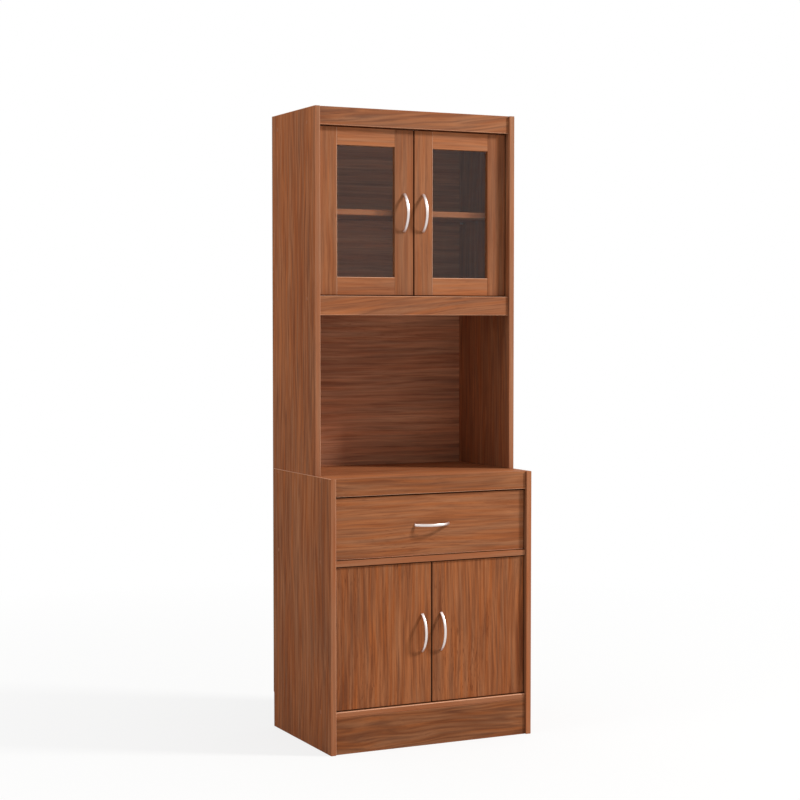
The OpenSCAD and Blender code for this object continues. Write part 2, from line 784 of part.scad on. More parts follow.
module cabinet_runners() {
    d = [drawer_rear_d - runner_end, lower_back_d - runner_end];
    z0 = track_z - runner_t;
    head_u = roller_u + roller_w + roller_play;
    color(metal) for (s = [-1, 1]) {
        runner_block(s, [0, runner_t], d, [z0, z0 + web_h]);
        runner_block(s, [0, lip_w], d, [z0, track_z]);
        runner_block(s, [0, lip_w], d, [lip_z, lip_z + runner_t]);
        runner_round(s, [0, roller_u - roller_play], cabinet_roller_d, axle_head_r);
        runner_round(s, [0, head_u + axle_head_t], cabinet_roller_d, axle_r);
        runner_round(s, [head_u, head_u + axle_head_t], cabinet_roller_d, axle_head_r);
    }
}

module drawer_runners() {
    d = [drawer_rear_d, lower_back_d];
    head_u = roller_u - roller_play;
    color(metal) for (s = [-1, 1]) {
        runner_block(s, [runner_gap - runner_t, runner_gap], d, [drawer_z, lip_z + drawer_web_up]);
        runner_block(s, [runner_t + slide_gap, runner_gap], d, [flange_z, flange_z + runner_t]);
        runner_round(s, [roller_u + roller_w + roller_play, runner_gap], drawer_roller_d,
            axle_head_r);
        runner_round(s, [head_u - axle_head_t, runner_gap], drawer_roller_d, axle_r);
        runner_round(s, [head_u - axle_head_t, head_u], drawer_roller_d, axle_head_r);
    }
}

module rollers(d) {
    color(nylon) for (s = [-1, 1]) difference() {
        runner_round(s, [roller_u, roller_u + roller_w], d, roller_r);
        runner_round(s, [roller_u - over, roller_u + roller_w + over], d, axle_r + fit_gap);
    }
}
module cabinet_rollers() rollers(cabinet_roller_d);
module drawer_rollers() rollers(drawer_roller_d);

lower_side_left();
lower_side_right();
upper_side_left();
upper_side_right();
counter_board();
counter_apron();
mid_board();
bottom_board();
plinth_board();
top_board();
crown_rail();
niche_board();
niche_rail();
upper_shelf();
shelf_pins();
upper_back_panel();
lower_back_panel();
carcass_screws();
screw_caps();
joining_dowels();
back_panel_nails();
pivot_bushes();
door_catches();
cabinet_runners();
upper_left_stiles();
upper_left_rails();
upper_left_glass();
upper_left_beads();
upper_left_handle();
upper_left_screws();
upper_left_pivots();
upper_left_strike();
upper_right_stiles();
upper_right_rails();
upper_right_glass();
upper_right_beads();
upper_right_handle();
upper_right_screws();
upper_right_pivots();
upper_right_strike();
lower_left_panel();
lower_left_handle();
lower_left_screws();
lower_left_pivots();
lower_left_strike();
lower_right_panel();
lower_right_handle();
lower_right_screws();
lower_right_pivots();
lower_right_strike();
drawer_front();
drawer_handle();
drawer_screws();
drawer_side_left();
drawer_side_right();
drawer_back();
drawer_bottom();
drawer_runners();
cabinet_rollers();
drawer_rollers();
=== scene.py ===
"""Looks for a kitchen cabinet: a deep lower unit with two doors and a drawer, an open niche
and a shallower upper unit with two glazed doors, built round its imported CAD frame.

Metres, in the frame of the CAD model: +X is to the right seen from the front, the front faces
-Y and +Z is up."""

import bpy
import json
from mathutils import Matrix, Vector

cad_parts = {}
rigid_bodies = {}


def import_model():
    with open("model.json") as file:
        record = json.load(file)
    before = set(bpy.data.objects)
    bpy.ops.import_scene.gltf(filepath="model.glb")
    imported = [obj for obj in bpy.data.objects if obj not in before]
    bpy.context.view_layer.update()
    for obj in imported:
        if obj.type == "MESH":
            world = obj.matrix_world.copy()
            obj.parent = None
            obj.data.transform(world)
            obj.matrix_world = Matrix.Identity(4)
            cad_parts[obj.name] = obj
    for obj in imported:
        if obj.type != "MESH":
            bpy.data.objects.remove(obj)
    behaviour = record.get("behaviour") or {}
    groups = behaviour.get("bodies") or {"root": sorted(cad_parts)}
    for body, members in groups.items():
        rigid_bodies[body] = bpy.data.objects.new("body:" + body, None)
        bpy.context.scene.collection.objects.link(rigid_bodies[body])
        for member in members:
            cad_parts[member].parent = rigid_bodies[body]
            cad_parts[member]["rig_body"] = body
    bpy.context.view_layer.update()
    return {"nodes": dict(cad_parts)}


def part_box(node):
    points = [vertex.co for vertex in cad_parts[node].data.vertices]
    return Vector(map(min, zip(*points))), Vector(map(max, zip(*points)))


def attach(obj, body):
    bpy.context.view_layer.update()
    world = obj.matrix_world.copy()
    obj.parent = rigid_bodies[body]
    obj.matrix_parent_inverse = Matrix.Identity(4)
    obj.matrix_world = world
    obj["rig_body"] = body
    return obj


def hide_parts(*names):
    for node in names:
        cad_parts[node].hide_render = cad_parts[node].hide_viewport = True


bl_info = {
    "name": "Kitchen cabinet",
    "version": (1, 0, 0),
    "blender": (4, 5, 0),
    "location": "3D View > Sidebar > Cabinet",
    "description": "Laminated boards, glazed doors, bow handles and fittings round a CAD frame",
    "category": "Object",
}

import json
import math

import bmesh
import bpy
from bpy.props import FloatProperty, FloatVectorProperty, PointerProperty
from mathutils import Matrix, Vector

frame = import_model()


def from_srgb(red, green, blue):
    """A linear colour with alpha, from sRGB values of 0 to 255."""
    parts = [v / 255 for v in (red, green, blue)]
    return (*(v / 12.92 if v <= 0.04045 else ((v + 0.055) / 1.055) ** 2.4 for v in parts), 1.0)


def amount(name, description, default, **kind):
    return FloatProperty(name=name, description=description, default=default, **kind)


def length(name, description, default):
    """A size in metres."""
    return amount(name, description, default, min=0, unit="LENGTH", precision=5)


def colour(name, description, *srgb):
    """A colour that is given in sRGB and kept linear."""
    return FloatVectorProperty(name=name, description=description, default=from_srgb(*srgb),
                               size=4, subtype="COLOR", min=0, max=1)


class CabinetSizes(bpy.types.PropertyGroup):
    """Sizes that the CAD frame doesn't hold"""

    board_edge: length("Board edge", "Rounding of the edges of the boards", 0.0009)
    door_edge: length("Door edge", "Rounding of the doors' and drawer front's edges", 0.0015)
    frame_edge: length("Frame edge", "Chamfer of the glazed frames round the glass", 0.0013)
    bead_round: length("Bead rounding", "Rounding of the glazing beads", 0.0035)
    glass_edge: length("Glass edge", "Ground edge of the glass", 0.0004)
    cap_gap: length("Cap gap", "Gap round a screw cap in its recess", 0.0002)
    cap_round: length("Cap rounding", "Rounding of the screw caps", 0.0006)
    bow_width: length("Bow width", "Width of a handle's bow at its middle", 0.0080)
    bow_end: length("Bow end", "Width of a handle's bow at its feet", 0.0098)
    bow_thickness: length("Bow thickness", "Thickness of a handle's bow", 0.0062)
    bow_bend: length("Bow bend", "Outer radius of the bends at a handle's ends", 0.0067)
    sheet_edge: length("Sheet edge", "Chamfer of the edges of the hardboard sheets", 0.0003)
    nail_gap: length("Nail gap", "Gap round a nail's head in its recess", 0.0001)
    nail_recess: length("Nail recess", "Depth of the recess for a nail's head", 0.00085)
    shank: length("Screw shank", "Radius of the handle screws", 0.002)
    shank_cut: length("Shank cut", "How much of a handle screw's thread the foot has no room for",
                      0.0042)
    cross_width: length("Cross width", "Width of the slots in a screw's head", 0.0009)
    cross_length: length("Cross length", "Length of the slots in a screw's head", 0.0044)
    cross_depth: length("Cross depth", "Depth of the slots in a screw's head", 0.0015)


class CabinetColours(bpy.types.PropertyGroup):
    """Colours of the finishes"""

    laminate_light: colour("Laminate light", "Lighter ground of the laminate", 178, 111, 70)
    laminate_dark: colour("Laminate dark", "Darker ground of the laminate", 126, 75, 49)
    laminate_vein: colour("Laminate vein", "Veins of the laminate", 98, 50, 31)
    tape_light: colour("Edge tape light", "Lighter ground of the edge tape", 170, 109, 74)
    tape_dark: colour("Edge tape dark", "Darker ground of the edge tape", 144, 88, 59)
    # Painted highlight along corners that catch the light, partly the laminate's lighter cut edge
    arris: colour("Arris", "Cut edge of the laminate along some corners", 214, 160, 128)
    # The print's light ground is partly painted light, made lighter to make up for the light that
    # the glass keeps out of the upper unit
    back_light: colour("Back light", "Lighter ground of the back panels' print", 206, 138, 100)
    back_dark: colour("Back dark", "Darker ground of the back panels' print", 126, 78, 56)
    hardboard: colour("Hardboard", "Raw face of the hardboard", 134, 100, 68)
    dowel: colour("Dowel wood", "Wood of the dowels", 205, 170, 122)
    nickel: colour("Nickel", "Satin finish of the handles", 228, 217, 213)
    steel: colour("Steel", "Plated screws, pins and plates", 186, 186, 182)
    coating: colour("Runner coating", "Coating of the drawer runners", 226, 223, 214)
    nylon: colour("Nylon", "Catches and rollers", 228, 223, 208)
    brown_nylon: colour("Brown nylon", "Bushes of the doors' pivots", 84, 52, 36)
    cap: colour("Cap", "Screw caps", 150, 93, 60)
    glass: colour("Glass", "Tint of the glass", 221, 227, 213)
    floor: colour("Floor", "Colour of the floor", 236, 235, 232)


class CabinetStage(bpy.types.PropertyGroup):
    """Camera and lights"""

    camera_at: FloatVectorProperty(name="Camera place", description="Where the camera stands",
                                   default=(-2.1801, -4.4689, 1.1362), subtype="TRANSLATION")
    camera_turn: amount("Camera turn", "Turn of the view to the right", 0.4526,
                        subtype="ANGLE")
    camera_tilt: amount("Camera tilt", "Upward tilt of the view", -0.0439, subtype="ANGLE")
    lens: amount("Lens", "Focal length in mm on a 36 mm sensor", 81.3, min=10)
    even_light: amount("Even light", "Strength of the light all round", 0.45, min=0)
    key_power: amount("Key power", "Power of the main lamp in watts", 480, min=0)
    key_size: length("Key size", "Side of the main lamp", 0.9)
    fill_power: amount("Fill power", "Power of the left lamp in watts", 13, min=0)
    fill_size: length("Fill size", "Side of the left lamp", 0.9)
    floor_size: length("Floor size", "Width of the floor", 24.0)


SIDES = ("left", "right")
DOORS = [f"{level}_{side}" for level in ("upper", "lower") for side in SIDES]

# Where on the endless print each group of boards is cut, how far a step goes there, and how
# many steps on a board's edge tape is cut
PRINT = {"sides": 1, "dowels": 3, "flat_boards": 6, "strips": 13, "backs": 21, "frames": 24,
         "beads": 30, "lower_doors": 33, "drawer_front": 36, "drawer_sides": 38,
         "drawer_back": 41}
PRINT_STEP, TAPE_STEP = (0.73, 0.41, 1.37), 0.37
PORE_DEPTH = 0.00003
# Where most of a noise lies
USUAL = (0.3, 0.7)

# The main lamp stands far off, to the right of the doors' top corner and above it
KEY_CORNER = Vector((0.26, -0.08, 1.62))
KEY_RIGHT, KEY_UP, KEY_AWAY = math.radians(55.6), math.radians(30.6), 6.4
KEY_AIM = Vector((0, -0.1, 1.1))
FILL_AT, FILL_AIM = Vector((-1.9, -0.25, 2.3)), Vector((-0.3, 0, 1.3))

# Near and far from the cabinet, in metres, how much of the floor shows as plain white
FLOOR_WHITE = {"low": 0.5, "high": 3.0, "to_low": 0.8, "to_high": 1.0}
SENSOR_MM = 36.0

# Places nearer than this, in metres, are one
TOUCH = 1e-6
# A face is flat on an axis, or lies on a corner's line, if its normal goes this far along it
FLAT, ON_CORNER = 0.95, 0.75
# Angles over which an edge stays sharp
SHARP, BOW_SHARP = math.radians(50), math.radians(60)
# Below a sheet's edges, a frame's edges beside the glass, and a sheet's printed face
SHEET_EDGE, FRAME_EDGE, PRINTED_FACE = 0.5, 0.1, 0.01
# How far a cut or a test goes past the beads, to take in all that touches them
MARGIN = 0.001
# A screw cap's recess is this many times as deep as the cap
RECESS_DEPTH = 1.01
# Sides of a handle's oval, and steps of its bends and of its long arc
BOW_SIDES, BEND_STEPS, ARC_STEPS = 24, 8, 28
# Rounding of a screw's head, as a share of the head's height
HEAD_ROUND = 0.55


# Node trees

NUMBER, COLOUR, PLACE = "NodeSocketFloat", "NodeSocketColor", "NodeSocketVector"


def add(tree, kind, inputs=None, **settings):
    """Adds a node. Each input is given as a value or as the socket that feeds it."""
    node = tree.nodes.new(kind)
    for name, value in settings.items():
        setattr(node, name, value)
    for key, value in (inputs or {}).items():
        if isinstance(value, bpy.types.NodeSocket):
            tree.links.new(value, node.inputs[key])
        else:
            node.inputs[key].default_value = value
    return node


def maths(tree, operation, first, second=0.0):
    """A Math node's result."""
    return add(tree, "ShaderNodeMath", {0: first, 1: second}, operation=operation).outputs[0]


def plus(tree, first, second):
    return maths(tree, "ADD", first, second)


def times(tree, first, second):
    return maths(tree, "MULTIPLY", first, second)


def vectors(tree, operation, first, second):
    """A Vector Math node's vector."""
    return add(tree, "ShaderNodeVectorMath", {0: first, 1: second}, operation=operation).outputs[0]


def mixed(tree, factor, first, second):
    """A mix of two colours."""
    return add(tree, "ShaderNodeMix", {0: factor, 6: first, 7: second},
               data_type="RGBA").outputs[2]


def ranged(tree, value, low, high, to_low=0.0, to_high=1.0):
    """A value whose range from low to high becomes another range, and that stops at its ends."""
    return add(tree, "ShaderNodeMapRange", {
        "Value": value, "From Min": low, "From Max": high,
        "To Min": to_low, "To Max": to_high}).outputs[0]


def noise(tree, place, scale, detail=2.0, roughness=0.5):
    """Noise around 0.5, with about scale lumps to the metre."""
    return add(tree, "ShaderNodeTexNoise", {
        "Vector": place, "Scale": scale, "Detail": detail, "Roughness": roughness}).outputs["Fac"]


def new_group(name, inputs, outputs):
    """A node group with named sockets: its tree, what comes in and what goes out."""
    tree = bpy.data.node_groups.new(name, "ShaderNodeTree")
    for label, kind in inputs:
        tree.interface.new_socket(name=label, in_out="INPUT", socket_type=kind)
    for label, kind in outputs:
        tree.interface.new_socket(name=label, in_out="OUTPUT", socket_type=kind)
    return tree, tree.nodes.new("NodeGroupInput").outputs, tree.nodes.new("NodeGroupOutput").inputs


def wood_grain():
    """Printed wood, whose grain runs along the Z axis of the place that comes in."""
    tree, into, out = new_group(
        "Wood grain",
        [("Place", PLACE), ("Light", COLOUR), ("Dark", COLOUR), ("Vein", COLOUR),
         ("Figure", NUMBER), ("Streaks", NUMBER), ("Flecks", NUMBER)],
        [("Color", COLOUR), ("Roughness", NUMBER), ("Height", NUMBER)])

    def stretched(along, place=into["Place"]):
        """The place with its way along the grain scaled: the less, the longer the pattern."""
        return vectors(tree, "MULTIPLY", place, (1, 1, along))

    def swing(value, size):
        """How far a noise is from its middle, times a size."""
        return times(tree, ranged(tree, value, *USUAL, -0.5, 0.5), size)

    # The lines of the print sway sideways, most where the figure is strong
    sway = add(tree, "ShaderNodeTexNoise", {"Vector": stretched(0.42), "Scale": 6.0,
                                            "Detail": 2.0}).outputs["Color"]
    sway = vectors(tree, "SUBTRACT", sway, (0.5, 0.5, 0.5))
    reach = plus(tree, times(tree, into["Figure"], 0.11), 0.004)
    sway = add(tree, "ShaderNodeVectorMath", {0: sway, "Scale": reach},
               operation="SCALE").outputs[0]
    bent = vectors(tree, "ADD", into["Place"], vectors(tree, "MULTIPLY", sway, (1, 1, 0)))
    # Rings of the tree as soft bands of uneven width
    rings = noise(tree, stretched(0.03, bent), scale=22.0)
    tide = times(tree, noise(tree, stretched(0.24), scale=5.0, detail=1.0),
                 times(tree, into["Figure"], 70.0))
    wave = maths(tree, "SINE", plus(tree, times(tree, rings, 80.0), tide))
    streaks = noise(tree, stretched(0.035, bent), scale=130.0, detail=3.0, roughness=0.6)
    fine = noise(tree, stretched(0.03, bent), scale=400.0, detail=3.0, roughness=0.6)
    slow = noise(tree, stretched(0.12), scale=6.0)
    # How dark the ground is: streaks, rings and slow drift about the middle
    depth = plus(tree, 0.5, swing(streaks, into["Streaks"]))
    depth = plus(tree, depth, times(tree, wave, times(tree, into["Figure"], 0.6)))
    depth = plus(tree, depth, swing(slow, 0.45))
    ground = mixed(tree, depth, into["Light"], into["Dark"])
    # Some stripes are redder, some greyer
    tint = noise(tree, stretched(0.05, bent), scale=85.0, detail=1.0)
    ground = add(tree, "ShaderNodeHueSaturation", {
        "Hue": ranged(tree, tint, *USUAL, to_low=0.497, to_high=0.503),
        "Saturation": ranged(tree, tint, *USUAL, to_low=1.05, to_high=0.96),
        "Color": ground}).outputs["Color"]
    # Short dark flecks that come in patches
    flecks = ranged(tree, noise(tree, stretched(0.08, bent), scale=430.0), 0.57, 0.72)
    patches = ranged(tree, noise(tree, stretched(0.3), scale=11.0), 0.45, 0.65)
    flecks = times(tree, times(tree, flecks, patches), into["Flecks"])
    ground = mixed(tree, flecks, ground, into["Vein"])
    # Pores, which are a little darker, rougher and deeper than what lies round them
    pores = ranged(tree, fine, 0.54, 0.72)
    ground = mixed(tree, times(tree, pores, 0.30), ground, into["Vein"])
    tree.links.new(ground, out["Color"])
    dull = plus(tree, streaks, pores)
    tree.links.new(ranged(tree, dull, 0.2, 1.4, to_low=0.54, to_high=0.68), out["Roughness"])
    tree.links.new(maths(tree, "SUBTRACT", 1.0, pores), out["Height"])
    return tree


def mottle():
    """Slow and fine variation of one colour, as on plastic, plating and coatings."""
    tree, into, out = new_group(
        "Mottle",
        [("Place", PLACE), ("Color", COLOUR), ("Spread", NUMBER), ("Scale", NUMBER),
         ("Roughness", NUMBER)],
        [("Color", COLOUR), ("Roughness", NUMBER), ("Height", NUMBER)])
    slow = noise(tree, into["Place"], into["Scale"], detail=3.0)
    fine = noise(tree, into["Place"], times(tree, into["Scale"], 14.0))
    # The two noises add up to 0.75 on average, so the level swings about 0
    level = plus(tree, slow, times(tree, fine, 0.5))
    level = times(tree, maths(tree, "SUBTRACT", level, 0.75), into["Spread"])
    shaded = add(tree, "ShaderNodeHueSaturation", {
        "Value": plus(tree, level, 1.0), "Color": into["Color"]})
    tree.links.new(shaded.outputs["Color"], out["Color"])
    tree.links.new(plus(tree, into["Roughness"], level), out["Roughness"])
    tree.links.new(fine, out["Height"])
    return tree


def surface(name, place, tree_group, values, bump, **shader):
    """A material whose colour, roughness and bump come from a node group at a mapped place."""
    material = bpy.data.materials.new(name)
    material.use_nodes = True
    tree = material.node_tree
    bsdf = tree.nodes["Principled BSDF"]
    for socket, value in shader.items():
        bsdf.inputs[socket.replace("_", " ")].default_value = value
    where = add(tree, "ShaderNodeMapping", {
        "Vector": add(tree, "ShaderNodeTexCoord").outputs["Object"], **place}).outputs[0]
    group = add(tree, "ShaderNodeGroup", node_tree=tree_group)
    tree.links.new(where, group.inputs["Place"])
    for socket, value in values.items():
        group.inputs[socket].default_value = value
    tree.links.new(group.outputs["Color"], bsdf.inputs["Base Color"])
    tree.links.new(group.outputs["Roughness"], bsdf.inputs["Roughness"])
    if bump:
        relief = add(tree, "ShaderNodeBump", {"Height": group.outputs["Height"],
                                              "Distance": bump, "Strength": 1.0})
        tree.links.new(relief.outputs["Normal"], bsdf.inputs["Normal"])
    return material


def group_named(name, make):
    """A shared node group, made when it is first asked for."""
    return bpy.data.node_groups.get(name) or make()


# Rotations that lay a board's grain along Z and its width along X
UPRIGHT_FRONT = (0, 0, 0)
UPRIGHT_SIDE = (0, 0, math.pi / 2)
LEVEL_FRONT = (0, math.pi / 2, 0)
LEVEL_FLAT = (math.pi / 2, math.pi / 2, 0)
LEVEL_END = (math.pi / 2, 0, 0)


def toned(colour_value, tone, cool=0.0):
    """A colour times a tone. A cool one holds more blue, and half as much more green."""
    parts = (tone, tone * (1 + cool / 2), tone * (1 + cool))
    return (*(min(1.0, part * by) for part, by in zip(colour_value[:3], parts)), 1.0)


def wood(name, grain, number, light, dark, vein, tone=1.0, figure=0.25, streaks=0.6,
         flecks=0.4, sheen=0.04, lean=0.0, size=1.0, cool=0.0):
    """Wood of one board. Number picks which part of the endless print it is cut from, tone
    and cool change its colours, sheen is its gloss, lean turns the grain a little and size
    makes it coarser. Figure, streaks and flecks say how strong each part of the grain is."""
    turn = (grain[0], grain[1] + lean, grain[2])
    return surface(
        name, {"Rotation": turn, "Scale": (1 / size, 1 / size, 1 / size),
               "Location": tuple(step * number for step in PRINT_STEP)},
        group_named("Wood grain", wood_grain),
        {"Light": toned(light, tone, cool), "Dark": toned(dark, tone, cool),
         "Vein": toned(vein, tone, cool), "Figure": figure, "Streaks": streaks,
         "Flecks": flecks},
        PORE_DEPTH, Specular_IOR_Level=sheen)


def laminate(name, grain, number, edge_tone=0.94, edge_cool=0.0, **looks):
    """Finishes of a laminated board: its faces, the tape on its edges, and a painted highlight for
    some of its arrises.
    """
    colours = bpy.context.scene.cabinet_colours
    light, dark, vein = colours.laminate_light, colours.laminate_dark, colours.laminate_vein
    face = wood(name, grain, number, light, dark, vein, **looks)
    tape = wood(name + "_tape", grain, number + TAPE_STEP, colours.tape_light,
                colours.tape_dark, dark, tone=edge_tone, cool=edge_cool, figure=0.08,
                streaks=0.5, flecks=0.2)
    return [face, tape, finish_named("laminate_arris")]


def mottled(name, base, spread, scale, roughness, bump, **shader):
    """A finish of one colour, which varies by the spread in lumps of the scale."""
    return surface(name, {}, group_named("Mottle", mottle),
                   {"Color": tuple(base), "Spread": spread, "Scale": scale,
                    "Roughness": roughness}, bump, **shader)


# Finishes of one colour: which one, how far it varies and in lumps of what scale, the finish's
# roughness, the depth of its bumps, and what else the shader is given
MOTTLED = {
    # A lighter colour for some corners: painted highlight, partly the laminate's cut edge
    "laminate_arris": ("arris", 0.12, 70.0, 0.6, 0.0, {"Specular_IOR_Level": 0.04}),
    "satin_nickel": ("nickel", 0.08, 90.0, 0.36, 0.000004, {"Metallic": 1.0}),
    "plated_steel": ("steel", 0.25, 160.0, 0.34, 0.00001, {"Metallic": 1.0}),
    "runner_coating": ("coating", 0.08, 240.0, 0.42, 0.00003, {}),
    "moulded_nylon": ("nylon", 0.08, 130.0, 0.46, 0.00002, {"Subsurface_Weight": 0.05}),
    "brown_nylon": ("brown_nylon", 0.1, 130.0, 0.5, 0.00002, {}),
    "screw_cap_plastic": ("cap", 0.12, 200.0, 0.5, 0.00002, {"Specular_IOR_Level": 0.04}),
    "raw_hardboard": ("hardboard", 0.55, 60.0, 0.78, 0.00012, {}),
    "clear_glass": ("glass", 0.02, 12.0, 0.015, 0.0,
                    {"Transmission_Weight": 1.0, "IOR": 1.5, "Coat_Weight": 1.0,
                     "Coat_Roughness": 0.02, "Alpha": 0.19}),
}


def finish_named(name):
    """The finishes that pieces share, each made when it is first asked for."""
    found = bpy.data.materials.get(name)
    if found:
        return found
    colours = bpy.context.scene.cabinet_colours
    if name in MOTTLED:
        base, *looks, shader = MOTTLED[name]
        return mottled(name, getattr(colours, base), *looks, **shader)
    if name == "back_print":
        return wood(name, LEVEL_FRONT, PRINT["backs"], colours.back_light, colours.back_dark,
                    colours.laminate_vein, figure=0.1, sheen=0.08, size=1.2, tone=1.09, cool=0.1)
    if name == "beech_dowel":
        light = colours.dowel
        return wood(name, LEVEL_END, PRINT["dowels"], light, toned(light, 0.78),
                    toned(light, 0.55), figure=0.2)
    raise RuntimeError(f"there is no finish named {name}")


# Mesh work with Blender's own tools

def clear_selection():
    """Leaves edit mode with nothing selected."""
    if bpy.context.object and bpy.context.object.mode != "OBJECT":
        bpy.ops.object.mode_set(mode="OBJECT")
    bpy.ops.object.select_all(action="DESELECT")


def choose(*pieces):
    """Selects pieces, the last of them active."""
    clear_selection()
    for piece in pieces:
        piece.select_set(True)
        bpy.context.view_layer.objects.active = piece


def placed(name, scale=(1, 1, 1)):
    """Names the primitive that was just added, and puts its place into its mesh."""
    piece = bpy.context.object
    piece.name = piece.data.name = name
    piece.scale = scale
    bpy.ops.object.transform_apply(location=True, rotation=True, scale=True)
    return piece


def block(name, low, high):
    """A box between two corners."""
    low, high = Vector(low), Vector(high)
    clear_selection()
    bpy.ops.mesh.primitive_cube_add(size=1, location=(low + high) / 2)
    return placed(name, high - low)


# Rotations that lay a cylinder along an axis
ALONG = {"X": (0, math.pi / 2, 0), "Y": (math.pi / 2, 0, 0)}


def rod(name, centre, axis, radius, depth, sides=32):
    """A cylinder along an axis."""
    clear_selection()
    bpy.ops.mesh.primitive_cylinder_add(vertices=sides, radius=radius, depth=depth,
                                        location=centre, rotation=ALONG[axis])
    return placed(name)


def pick(piece, part, test):
    """Opens a piece in edit mode with only the faces, edges or verts selected that pass."""
    choose(piece)
    bpy.ops.object.mode_set(mode="EDIT")
    bpy.ops.mesh.select_mode(type={"faces": "FACE", "edges": "EDGE", "verts": "VERT"}[part])
    bpy.ops.mesh.select_all(action="DESELECT")
    mesh = bmesh.from_edit_mesh(piece.data)
    found = [item for item in getattr(mesh, part) if test(item)]
    if not found:
        raise RuntimeError(f"{piece.name} has no such {part}")
    for item in found:
        item.select_set(True)
    mesh.select_flush_mode()
    bmesh.update_edit_mesh(piece.data)


def leave():
    bpy.ops.object.mode_set(mode="OBJECT")


def bevel(piece, test, width, segments=2):
    """Bevels the edges of a piece that pass the test."""
    pick(piece, "edges", test)
    bpy.ops.mesh.bevel(offset=width, offset_type="OFFSET", segments=segments, profile=0.5,
                       affect="EDGES")
    leave()


def middle(edge):
    return (edge.verts[0].co + edge.verts[1].co) / 2


def near(first, second):
    return abs(first - second) < TOUCH


def front_middle(low, high, y):
    """The middle of a box as seen from the front, at a given depth."""
    return Vector(((low.x + high.x) / 2, y, (low.z + high.z) / 2))


def cut(piece, *cutters):
    """Cuts solids out of a piece and removes them."""
    for cutter in cutters:
        choose(piece)
        step = piece.modifiers.new("Cut", "BOOLEAN")
        step.operation, step.solver, step.object = "DIFFERENCE", "EXACT", cutter
        bpy.ops.object.modifier_apply(modifier=step.name)
        bpy.data.objects.remove(cutter)


def join(name, pieces):
    """Makes one piece of several."""
    choose(*pieces)
    bpy.ops.object.join()
    piece = bpy.context.object
    piece.name = piece.data.name = name
    return piece


def smooth(piece):
    """Smooth bevels between faces that stay flat."""
    choose(piece)
    bpy.ops.object.shade_smooth_by_angle(angle=SHARP)
    step = piece.modifiers.new("Flat faces", "WEIGHTED_NORMAL")
    step.keep_sharp = True
    bpy.ops.object.modifier_apply(modifier=step.name)
    return piece


def copied(piece, name, move):
    """A copy with its own mesh, moved by a matrix."""
    copy = piece.copy()
    copy.data = piece.data.copy()
    copy.name = copy.data.name = name
    bpy.context.scene.collection.objects.link(copy)
    copy.data.transform(move)
    return copy


def dress(piece, finishes, tape=None, lines=(), where=lambda face: True):
    """Gives a piece its finishes. Faces that pass the tape test take the second one, and the
    corners that face along one of the lines, and are where they may show, the third: a painted
    highlight."""
    for finish in finishes:
        piece.data.materials.append(finish)
    for face in piece.data.polygons:
        if where(face) and any(face.normal.dot(Vector(line).normalized()) > ON_CORNER
                               for line in lines):
            face.material_index = 2
        else:
            face.material_index = 1 if tape and tape(face) else 0
    return piece


def stand_for(piece, node):
    """The piece takes the place of a CAD node, on the same body."""
    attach(piece, frame["nodes"][node]["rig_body"])
    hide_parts(node)


def coat(node, name):
    """A CAD node that keeps its own shape gets the finish of that name."""
    slots = frame["nodes"][node].data.materials
    slots.clear()
    slots.append(finish_named(name))


def solids(node):
    """The boxes of a CAD node's separate solids, as (low, high), in order of height."""
    mesh = bmesh.new()
    mesh.from_mesh(frame["nodes"][node].data)
    bmesh.ops.remove_doubles(mesh, verts=mesh.verts, dist=TOUCH)
    waiting, found = set(mesh.verts), []
    while waiting:
        group, border = set(), [waiting.pop()]
        while border:
            vert = border.pop()
            group.add(vert)
            for other in (link.other_vert(vert) for link in vert.link_edges):
                if other in waiting:
                    waiting.discard(other)
                    border.append(other)
        places = [v.co for v in group]
        found.append((Vector(min(p[i] for p in places) for i in range(3)),
                      Vector(max(p[i] for p in places) for i in range(3))))
    mesh.free()
    return sorted(found, key=lambda box: (round(box[0].z, 5), round(box[0].y, 5), box[0].x))


def narrow_faces(thin):
    """A test for faces on a board's edges: thin is the axis of the board's thickness."""
    return lambda face: abs(face.normal[thin]) < FLAT


# Corners that get a painted highlight, partly the laminate's lighter cut edge: the front ones that
# face up and down
UP_HIGHLIGHT, DOWN_HIGHLIGHT = (0, -1, 1), (0, -1, -1)


def board(node, name, grain, number, thin, edge=None, lines=(), **looks):
    """A laminated board in a CAD node's place, with rounded and taped edges. Thin is the axis
    of its thickness, edge its rounding and lines the corners that take a painted highlight."""
    sizes = bpy.context.scene.cabinet_sizes
    piece = block(name, *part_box(node))
    bevel(piece, lambda e: True, edge or sizes.board_edge)
    smooth(dress(piece, laminate(name, grain, number, **looks), narrow_faces(thin), lines))
    stand_for(piece, node)


